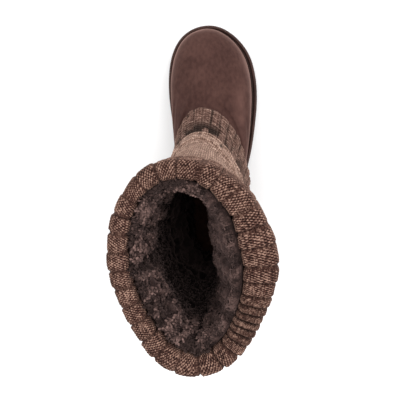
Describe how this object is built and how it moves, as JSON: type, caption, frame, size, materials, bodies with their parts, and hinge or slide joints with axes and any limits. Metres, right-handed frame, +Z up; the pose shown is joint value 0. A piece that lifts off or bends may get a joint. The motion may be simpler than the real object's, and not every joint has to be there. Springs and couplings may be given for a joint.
{
  "type": "mukluk boot",
  "caption": "Pull-on mukluk boot: suede foot on a rubber cup sole, knitted shaft with ankle band and folded ribbed cuff, deep fleece lining.",
  "frame": {"origin": "on the floor under the middle of the heel, on the heel's flat tread", "axes": "+Z up, -Y towards the toe, +X towards the inner side of the right foot"},
  "size_m": [0.1398, 0.3114, 0.3],
  "materials": {
    "sole_rubber": "satin moulded rubber",
    "welt_rubber": "matt",
    "suede": "napped suede",
    "footbed": "short pile",
    "band_knit": "marled rib knit",
    "shaft_knit": "marled plain knit",
    "cuff_knit": "marled wide rib knit",
    "fleece": "curly deep pile"
  },
  "bodies": {
    "root": {"outsole": "sole_rubber", "welt": "welt_rubber", "upper": "suede", "insole": "footbed", "ankle_band": "band_knit", "knit_shaft": "shaft_knit", "knit_cuff": "cuff_knit", "fleece_lining": "fleece"}
  },
  "joints": []
}
